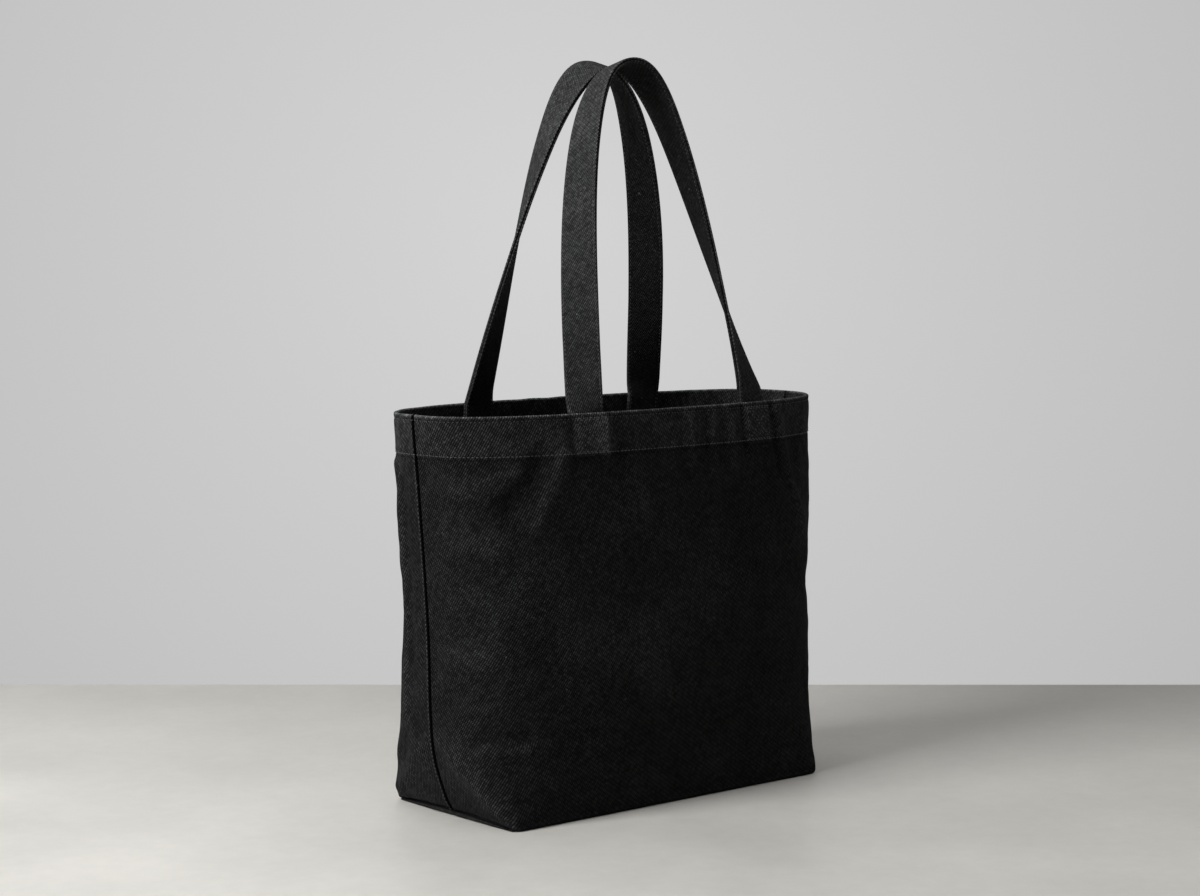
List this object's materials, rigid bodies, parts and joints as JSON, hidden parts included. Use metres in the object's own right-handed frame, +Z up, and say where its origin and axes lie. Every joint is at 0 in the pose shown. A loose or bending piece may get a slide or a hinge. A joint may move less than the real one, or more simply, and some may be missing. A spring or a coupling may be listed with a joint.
{
  "type": "canvas tote bag",
  "caption": "Open-topped tote bag in heavy twill canvas with a boxed base, a stitched hem and upright carrying straps that fold down outside.",
  "frame": {"origin": "middle of the base, on the surface that the bag stands on", "axes": "+Z up; +X along the front towards the right; the front faces -Y"},
  "size_m": [0.4432, 0.1992, 0.6556],
  "materials": {
    "body_canvas": "heavy black cotton twill, matte, softly worn along its folds",
    "strap_canvas": "the same twill folded to four layers, matte",
    "binding_tape": "plain woven cotton tape, matte",
    "thread": "spun thread, charcoal, slight sheen"
  },
  "bodies": {
    "bag": {"front_panel": "body_canvas", "front_left_strap_end": "strap_canvas", "front_left_box_stitching": "thread", "front_right_strap_end": "strap_canvas", "front_right_box_stitching": "thread", "back_panel": "body_canvas", "back_left_strap_end": "strap_canvas", "back_left_box_stitching": "thread", "back_right_strap_end": "strap_canvas", "back_right_box_stitching": "thread", "left_seam_stitching": "thread", "left_seam_binding": "binding_tape", "left_corner_binding": "binding_tape", "right_seam_stitching": "thread", "right_seam_binding": "binding_tape", "right_corner_binding": "binding_tape", "base_seam_binding": "binding_tape", "hem_stitching": "thread", "rim_stitching": "thread"},
    "front_strap": {"front_strap": "strap_canvas", "front_strap_outer_stitching": "thread", "front_strap_inner_stitching": "thread"},
    "back_strap": {"back_strap": "strap_canvas", "back_strap_outer_stitching": "thread", "back_strap_inner_stitching": "thread"}
  },
  "joints": [
    {"name": "front_strap_fold", "type": "hinge", "parent": "bag", "child": "front_strap", "pos_m": [0.004, -0.0808, 0.35], "axis": [1, 0, 0], "range_deg": [0, 180]},
    {"name": "back_strap_fold", "type": "hinge", "parent": "bag", "child": "back_strap", "pos_m": [0.004, 0.0808, 0.35], "axis": [-1, 0, 0], "range_deg": [0, 180]}
  ]
}
